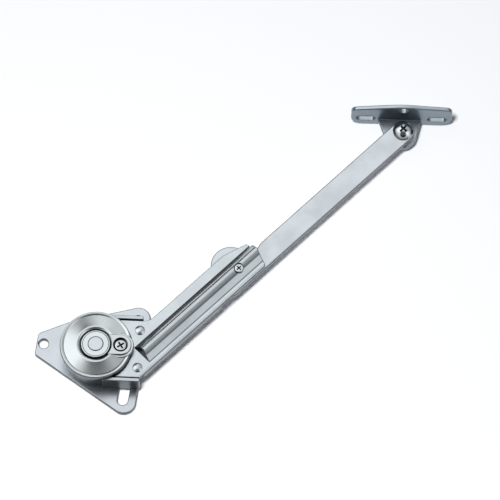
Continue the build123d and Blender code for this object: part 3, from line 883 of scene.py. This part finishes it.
def make_cap(damper):
    """The crowned cap, its boss in two steps, and the holes for the hub and the torque screw."""
    cap = turned("cap", cap_profile(damper), steps=160, closed=True)
    flange = foot("damper_cap") + damper.plug_height
    boss_top = top("damper_cap")
    screw = (TORQUE_X, 0)
    half = damper.recess + damper.boss_rim
    ledge_foot, boss_foot = flange + 0.05, flange + SLIP
    ledge = boss_step(half + damper.ledge_width, ledge_foot, boss_top - damper.ledge_drop)
    boss = combine(ledge, boss_step(half, boss_foot, boss_top), "UNION")
    lap = 0.6
    cap = combine(cap, cut_away(boss, drill(damper.hub_hole - lap)), "UNION")
    hub_floor = flange + damper.hub_floor
    hub_flare, screw_flare, seal_width = 0.18, 0.2, 0.65
    return cut_away(
        cap,
        flared_cutter(damper.hub_hole, hub_floor, boss_top, hub_flare),
        flared_cutter(damper.recess, hub_floor, boss_top, screw_flare, screw),
        drill(half_width("torque_seal") - seal_width, screw),
    )


def make_hub_washer(damper):
    """The turned disc, with a rounded edge and a shallow groove cut into its face."""
    low, high = foot("hub_washer"), top("hub_washer")
    radius = reach("hub_washer")
    hole = damper.neck + SLIP
    ring = radius - damper.hub_ring
    edge, groove, groove_half, broken = 0.4, 0.1, 0.14, 0.12
    profile = [(hole, low), (radius, low), (radius, high - edge)]
    profile += arc((radius - edge, high - edge), edge, 15, 90, 5)
    profile += [(ring + groove_half, high), (ring, high - groove), (ring - groove_half, high)]
    profile += [(hole + broken, high), (hole, high - broken)]
    return turned("hub", profile, steps=128, closed=True)


class OBJECT_OT_stay_damper(bpy.types.Operator):
    """Make the damper's casing, its cap and the hub"""

    bl_idname = "object.stay_damper"
    bl_label = "Damper"

    def execute(self, context):
        edges = context.scene.stay_edges
        damper = context.scene.stay_damper
        soften_node("damper_casing", alike(edges.casting))
        stand_for(make_cap(damper), "damper_cap", CASING_ANGLE, sharp_angle=38)
        stand_for(make_hub_washer(damper), "hub_washer")
        soften_node("spindle", alike(edges.small))
        keep_nodes("thrust_washer", "damper_vane", "valve_clip")
        keep_nodes("casing_seal", "upper_shaft_seal", "lower_shaft_seal", "torque_seal")
        return {"FINISHED"}


def make_screw(node, shank, head, edge, land, cross, turned_by, steps=96):
    """A screw from its shank's profile, its head's height, rounding and flat rim, and its cross."""
    high = top(node)
    head_r = half_width(node)
    profile = shank + [(shank[-1][0], high - head), (head_r, high - head)]
    profile += arc((head_r - edge, high - edge), edge, 0, 80, 6)
    screw = turned("screw", profile + [(head_r - land, high), (0, high)], steps=steps)
    return cut_away(screw, cross_cutter(high, *cross, turn=turned_by))


class OBJECT_OT_stay_torque_screw(bpy.types.Operator):
    """Make the torque screw with its cross recess and needle end"""

    bl_idname = "object.stay_torque_screw"
    bl_label = "Torque screw"

    def execute(self, context):
        screws = context.scene.stay_screws
        low = foot("torque_screw")
        tip_r, needle, shank_r = 0.4, 1.6, 1.5
        shank = [(0, low), (tip_r, low), (shank_r, low + needle)]
        cross, turned_by = screws.torque_cross, screws.torque_turn
        screw = make_screw(
            "torque_screw", shank, head=1.7, edge=0.45, land=1.2, cross=cross, turned_by=turned_by)
        stand_for(screw, "torque_screw", CASING_ANGLE, spot("torque_adjust"))
        return {"FINISHED"}


# Lower arm
def flat_top(arm):
    """Height of the front plate's flat top, over the side wall's foot."""
    return foot("arm_front_plate") + arm.flat - arm.wall_foot


def plate_outline(arm):
    """The front plate's outline in the arm's frame: root at the damper, lower edge, tip, upper edge."""
    lean = CASING_ANGLE - ARM_ANGLE

    def from_casing(x, y):
        return Matrix.Rotation(lean, 2) @ Vector((x, y))

    def crossing(y, v):
        start = from_casing(0, y)
        run = (v - start.y) / math.sin(lean)
        return (start.x + run * math.cos(lean), v)

    horn = arm.horn
    return rounded([
        (*from_casing(arm.root, -horn), 0),
        (*crossing(-horn, arm.lower - WELD), 0.4),
        (arm.tip_low, arm.lower - WELD, 1.6),
        (*arm.tip_middle, 5.0),
        (*arm.tip_high, 0.8),
        (arm.taper, arm.upper, 4.0),
        (*crossing(horn, arm.upper), 6.0),
        (*from_casing(arm.root, horn), 0),
    ])


def bead_curve(arm, flat):
    """Across the arm over the bead: its straight far side, its round back and its slope."""
    start = Vector((arm.bead_foot, 0))
    side, crown, crease = Vector(arm.bead_side), Vector(arm.bead_top), Vector(arm.crease)
    rise = side - start
    over_side = side + rise * (crown.y - side.y) / rise.y
    over_crease = Vector((crease.x + arm.shoulder, crown.y))
    points = [tuple(start), tuple(side)]
    points += bent(side, over_side, crown, 10) + bent(crown, over_crease, crease, 10)
    points.append((arm.facet_foot, 0))
    return [(v, flat + z) for v, z in points]


def hollow_curve(arm, flat):
    """The hollow under the bead, open to the plate's underside."""
    v, lift = arm.hollow
    open_z = flat - arm.sheet * 2
    start = -math.degrees(math.asin(lift / arm.hollow_radius))
    points = arc((v, flat + lift), arm.hollow_radius, start, 150, 18)
    points.append((arm.facet_foot + arm.bead_wall * 0.7, flat - arm.bead_wall * 0.8))
    return [(points[0][0], open_z)] + points + [(points[-1][0], open_z)]


def plate_section(arm, along, flat, has):
    """The front plate across the arm: flange, bead, lower flange, fold, side wall and underside."""
    beyond = 12.0
    under = flat - arm.sheet
    low, inner = arm.lower, arm.lower + arm.sheet
    wall_foot = arm.wall_foot if "wall" in has else under
    curve = bead_curve(arm, flat)
    points = [(beyond, flat)]
    points += curve if "bead" in has else [(min(v, arm.bead_foot), flat) for v, z in curve]
    points += arc((low + arm.fold, flat - arm.fold), arm.fold, 90, 180, 8)
    points += [(low, under), (low, wall_foot), (inner, wall_foot), (inner, under), (beyond, under)]
    lean = arm.nose_slope / arm.bead_top[1] if "nose" in has else 0.0
    return [(along + lean * max(0.0, z - flat), v, z) for v, z in points]


def make_front_plate(arm, edges):
    """The front plate: sections lofted along the arm, kept inside its outline, less hollow and holes."""
    flat = flat_top(arm)
    before, beyond = -12.0, arm.tip_middle[0] + 3
    sections = [
        (before, ""), (arm.wall_start, ""), (arm.wall_start, "wall"), (arm.nose, "wall"),
        (arm.nose, "wall bead nose"), (arm.wall_end, "wall bead"), (arm.wall_end, "bead"), (beyond, "bead"),
    ]
    plate = loft("front_plate", [plate_section(arm, along, flat, has) for along, has in sections])
    combine(plate, prism("outline", plate_outline(arm), 0, PAST), "INTERSECT")
    hollow_start = arm.nose + arm.nose_slope + arm.bead_wall
    hollow = [[(u, v, z) for v, z in hollow_curve(arm, flat)] for u in (hollow_start, beyond)]
    pivot = arm.middle_pivot
    seat_gap, near_foot, near_seat = 0.2, 0.05, 0.3
    seat_r = half_width("mid_pivot_screw") + seat_gap
    seat_z = top("mid_pivot_screw") - arm.pivot_head
    cutters = [
        drill(arm.damper_cut, steps=160),
        loft("cutter", hollow),
        drill(seat_r, pivot, low=seat_z),
        drill(arm.pivot_shank + SLIP, pivot),
    ]
    lean = Matrix.Rotation(CASING_ANGLE - ARM_ANGLE, 2)
    for side in (-1, 1):
        rivet = lean @ Vector((arm.rivet_x, side * arm.rivet_y))
        cutters.append(drill(arm.rivet_shank + SLIP, rivet, steps=48))
    cut_away(plate, *cutters)

    def rule(edge):
        middle = middle_of(edge)
        if middle.z < flat - arm.sheet + near_foot:
            return edges.small
        if not edge.is_convex:
            return edges.inner
        from_seat = (middle.xy - Vector(pivot)).length - seat_r
        return edges.small if from_seat < near_seat else edges.front

    return rounded_off(plate, rule, sharp_angle=28)


def make_rivet(arm, side):
    """A rivet with a domed head on the front plate and a flat one behind."""
    head_r, rim, foot_r, foot_height, broken = 2.15, 0.25, 2.3, 0.8, 0.15
    low, flat, high = foot("arm_rivets"), flat_top(arm), top("arm_rivets")
    rear = low + foot_height
    profile = [(0, low), (foot_r - broken, low), (foot_r, low + broken), (foot_r, rear)]
    profile += [(arm.rivet_shank, rear), (arm.rivet_shank, flat), (head_r, flat), (head_r, flat + rim)]
    profile += domed(head_r, flat + rim, high - flat - rim) + [(0, high)]
    return turned("rivet", profile, (arm.rivet_x, side * arm.rivet_y), steps=64)


class OBJECT_OT_stay_lower_arm(bpy.types.Operator):
    """Make the front plate with its bead, the rear plate and the rivets"""

    bl_idname = "object.stay_lower_arm"
    bl_label = "Lower arm"

    def execute(self, context):
        arm = context.scene.stay_arm
        edges = context.scene.stay_edges
        stand_for(make_front_plate(arm, edges), "arm_front_plate", ARM_ANGLE)
        soften_node("arm_rear_plate", alike(edges.sheet))
        rivets = combine(make_rivet(arm, -1), make_rivet(arm, 1), "UNION")
        stand_for(rivets, "arm_rivets", CASING_ANGLE)
        return {"FINISHED"}


class OBJECT_OT_stay_middle_pivot(bpy.types.Operator):
    """Make the screw, the nut and the spacers of the middle pivot"""

    bl_idname = "object.stay_middle_pivot"
    bl_label = "Middle pivot"

    def execute(self, context):
        arm = context.scene.stay_arm
        screws = context.scene.stay_screws
        low = foot("mid_pivot_screw")
        shank = [(0, low), (arm.pivot_shank, low)]
        cross, turned_by = screws.middle_cross, screws.middle_turn
        screw = make_screw(
            "mid_pivot_screw", shank, head=arm.pivot_head, edge=0.35, land=0.9,
            cross=cross, turned_by=turned_by, steps=72)
        stand_for(screw, "mid_pivot_screw", ARM_ANGLE, spot("elbow"))
        soften_node("mid_pivot_nut", alike(context.scene.stay_edges.small))
        keep_nodes("front_spacer", "rear_spacer", "mid_bush")
        return {"FINISHED"}


class OBJECT_OT_stay_catch(bpy.types.Operator):
    """Finish the plunger, the spring's seat and the spring"""

    bl_idname = "object.stay_catch"
    bl_label = "Catch"

    def execute(self, context):
        spring = put_in_place(copied("catch_spring"))
        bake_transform(spring)
        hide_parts("catch_spring")
        dress(spring, SLOTS["catch_spring"])
        keep_nodes("catch_plunger", "spring_seat")
        return {"FINISHED"}


# Upper arm and door bracket
class OBJECT_OT_stay_upper_arm(bpy.types.Operator):
    """Make the upper arm's flat bar"""

    bl_idname = "object.stay_upper_arm"
    bl_label = "Upper arm"

    def execute(self, context):
        soften_node("upper_arm_bar", alike(context.scene.stay_edges.bar))
        keep_nodes("door_bush")
        return {"FINISHED"}


def make_door_pivot(cross, turned_by):
    """The shouldered pivot with its high domed head."""
    low, high = foot("door_pivot_screw"), top("door_pivot_screw")
    head_r = half_width("door_pivot_screw")
    foot_r, foot_height, shank_r, head, rim, broken = 3.6, 1.0, 2.5, 2.4, 0.5, 0.15
    under = high - head
    profile = [(0, low), (foot_r - broken, low), (foot_r, low + broken), (foot_r, low + foot_height)]
    profile += [(shank_r, low + foot_height), (shank_r, under), (head_r - broken, under)]
    profile += [(head_r, under + broken), (head_r, under + rim)]
    profile += domed(head_r, under + rim, head - rim, 16) + [(0, high)]
    pivot = turned("pivot", profile, steps=128)
    return cut_away(pivot, cross_cutter(high, *cross, turn=turned_by))


class OBJECT_OT_stay_door_bracket(bpy.types.Operator):
    """Make the door bracket, its chromed pivot and the washer"""

    bl_idname = "object.stay_door_bracket"
    bl_label = "Door bracket"

    def execute(self, context):
        screws = context.scene.stay_screws
        soften_node("door_bracket", finer_holes(context.scene.stay_edges))
        pivot = make_door_pivot(screws.door_cross, screws.door_turn)
        stand_for(pivot, "door_pivot_screw", ARM_ANGLE, spot("door_hinge"))
        keep_nodes("door_washer")
        return {"FINISHED"}


# Stage
# What the metal reflects, beside a sky that pales with height: soft panels of light and dark flags, each
# with its direction, the cosines of its outer and inner edge, and its strength, which is below 0 for a flag
STUDIO = [
    ((-0.55, 0.34, 0.76), 0.88, 0.97, 0.52),
    ((0.00, 0.83, 0.56), 0.95, 0.995, 0.45),
    ((0.60, -0.18, 0.78), 0.92, 0.985, 0.35),
    ((0.85, -0.41, 0.34), 0.92, 0.985, 0.45),
    ((0.42, 0.22, 0.88), 0.92, 0.99, -0.50),
    ((-0.44, 0.82, 0.30), 0.84, 0.95, -0.60),
    ((0.02, -0.40, 0.92), 0.86, 0.95, -0.92),
]
SKY_RISE = (0.30, 0.93)
SKY_LEVELS = (0.03, 1.03)
SKY_TINT = (0.925, 0.985, 1.0)
FILL_TINT = (0.72, 0.85, 1.0)
LAMP_TINT = (1.0, 0.99, 0.97)
PAPER = (0.85, 0.87, 0.90)


def studio_panel():
    """A soft-edged round panel of light in the surroundings, about a direction."""
    group, given, result = shader_group(
        "Studio panel", "Mask", Vector=(0, 0, 1), Direction=(0, 0, 1), Edge=0.8, Core=0.95)
    facing = calculate_vector(group, "DOT_PRODUCT", given["Vector"], given["Direction"], "Value")
    group.links.new(spread(group, facing, given["Edge"], given["Core"]), result["Mask"])


def background(tree, colour, strength=1.0):
    inputs = {"Color": (*colour, 1), "Strength": strength}
    return add_node(tree, "ShaderNodeBackground", inputs).outputs["Background"]


def either(tree, mask, first, second):
    """The first shader where the mask is 0, and the second where it is 1."""
    return add_node(tree, "ShaderNodeMixShader", {"Fac": mask, 1: first, 2: second}).outputs["Shader"]


def surroundings(fill):
    """White behind the part, a plain fill, and for metal a studio of soft panels and dark flags."""
    world = bpy.data.worlds.new("Studio")
    bpy.context.scene.world = world
    world.use_nodes = True
    tree = world.node_tree
    tree.nodes.clear()
    studio_panel()
    direction = add_node(tree, "ShaderNodeTexCoord").outputs["Generated"]
    level = spread(tree, split(tree, direction)["Z"], *SKY_RISE, *SKY_LEVELS)
    for towards, edge, core, strength in STUDIO:
        panel = place_group(
            tree, "Studio panel", direction, Direction=Vector(towards).normalized(), Edge=edge, Core=core)
        level = calculate(tree, "MULTIPLY_ADD", panel["Mask"], strength, level)
    studio = background(tree, SKY_TINT, calculate(tree, "MAXIMUM", level, SKY_LEVELS[0]))
    rays = add_node(tree, "ShaderNodeLightPath").outputs
    lit = either(tree, rays["Is Diffuse Ray"], studio, background(tree, FILL_TINT, fill))
    seen = either(tree, rays["Is Camera Ray"], lit, background(tree, (1, 1, 1)))
    add_node(tree, "ShaderNodeOutputWorld", {"Surface": seen})


def floor_material(lift):
    """Pale paper that keeps the part's shadow, lifted towards white as the camera and metal see it."""
    material = bpy.data.materials.new("pale_floor")
    material.use_nodes = True
    tree = material.node_tree
    tree.nodes.clear()
    paper = add_node(tree, "ShaderNodeBsdfDiffuse", {"Color": (*PAPER, 1)}).outputs["BSDF"]
    rays = add_node(tree, "ShaderNodeLightPath").outputs
    seen = calculate(tree, "ADD", rays["Is Camera Ray"], rays["Is Glossy Ray"])
    seen = calculate(tree, "ADD", seen, rays["Is Transmission Ray"])
    glow = calculate(tree, "MULTIPLY", calculate(tree, "MINIMUM", seen, 1.0), lift)
    light = add_node(tree, "ShaderNodeEmission", {"Strength": glow}).outputs["Emission"]
    both = add_node(tree, "ShaderNodeAddShader", {0: paper, 1: light}).outputs["Shader"]
    add_node(tree, "ShaderNodeOutputMaterial", {"Surface": both})
    return material


def floor_sheet(lift):
    """A wide square just under the part."""
    half = 3.0
    z = cad_box[0].z - SLIP * MM
    mesh = bpy.data.meshes.new("floor")
    corners = [(x * half, y * half, z) for x, y in ((-1, -1), (1, -1), (1, 1), (-1, 1))]
    mesh.from_pydata(corners, [], [(0, 1, 2, 3)])
    mesh.materials.append(floor_material(lift))
    new_object("floor", mesh)


def face_back(thing, target, towards, away):
    """Puts a lamp or a camera away from a target and turns it to face the target."""
    towards = Vector(towards).normalized()
    thing.location = Vector(target) + towards * away
    thing.rotation_euler = towards.to_track_quat("Z", "Y").to_euler()


def key_lamp(stage):
    """A square lamp that gives a white floor its share of brightness and isn't mirrored by metal."""
    away = 1.1
    lamp_data = bpy.data.lights.new("key_lamp", "AREA")
    lamp_data.shape = "SQUARE"
    lamp_data.size = stage.key_size
    lamp_data.energy = stage.key * math.pi**2 * away**2 / Vector(stage.key_towards).normalized().z
    lamp_data.color = LAMP_TINT
    lamp = new_object("key_lamp", lamp_data)
    lamp.visible_glossy = False
    face_back(lamp, (cad_box[0] + cad_box[1]) / 2, stage.key_towards, away)


class SCENE_OT_stay_stage(bpy.types.Operator):
    """Make the floor, the surroundings, the lamp and the camera"""

    bl_idname = "scene.stay_stage"
    bl_label = "Stage"

    def execute(self, context):
        stage = context.scene.stay_stage
        camera_data = bpy.data.cameras.new("camera")
        camera_data.lens = stage.lens
        camera_data.sensor_width = 36
        camera_data.sensor_fit = "HORIZONTAL"
        camera_data.clip_end = 20
        camera = new_object("camera", camera_data)
        face_back(camera, stage.target, stage.towards, stage.distance)
        context.scene.camera = camera
        context.scene.view_settings.view_transform = "Standard"
        floor_sheet(stage.floor_lift)
        key_lamp(stage)
        surroundings(stage.fill)
        return {"FINISHED"}


class VIEW3D_PT_stay(bpy.types.Panel):
    """Panel that lists the steps"""

    bl_label = "Flap stay"
    bl_space_type = "VIEW_3D"
    bl_region_type = "UI"
    bl_category = "Flap stay"

    def draw(self, context):
        for key, kind in GROUPS.items():
            box = self.layout.box()
            for name in kind.__annotations__:
                box.prop(getattr(context.scene, key), name)
        for step in STEPS:
            self.layout.operator(step.bl_idname)


STEPS = (
    OBJECT_OT_stay_materials,
    OBJECT_OT_stay_base,
    OBJECT_OT_stay_damper,
    OBJECT_OT_stay_torque_screw,
    OBJECT_OT_stay_lower_arm,
    OBJECT_OT_stay_middle_pivot,
    OBJECT_OT_stay_catch,
    OBJECT_OT_stay_upper_arm,
    OBJECT_OT_stay_door_bracket,
    SCENE_OT_stay_stage,
)
GROUPS = {
    "stay_edges": StayEdges,
    "stay_damper": StayDamper,
    "stay_arm": StayArm,
    "stay_screws": StayScrews,
    "stay_finish": StayFinish,
    "stay_stage": StayStage,
}


def register():
    for name, group in GROUPS.items():
        bpy.utils.register_class(group)
        setattr(bpy.types.Scene, name, bpy.props.PointerProperty(type=group))
    for step in STEPS:
        bpy.utils.register_class(step)
    bpy.utils.register_class(VIEW3D_PT_stay)


def unregister():
    bpy.utils.unregister_class(VIEW3D_PT_stay)
    for step in reversed(STEPS):
        bpy.utils.unregister_class(step)
    for name, group in GROUPS.items():
        delattr(bpy.types.Scene, name)
        bpy.utils.unregister_class(group)


def main():
    register()
    for step in STEPS:
        area, action = step.bl_idname.split(".")
        getattr(getattr(bpy.ops, area), action)()


if __name__ == "__main__":
    main()
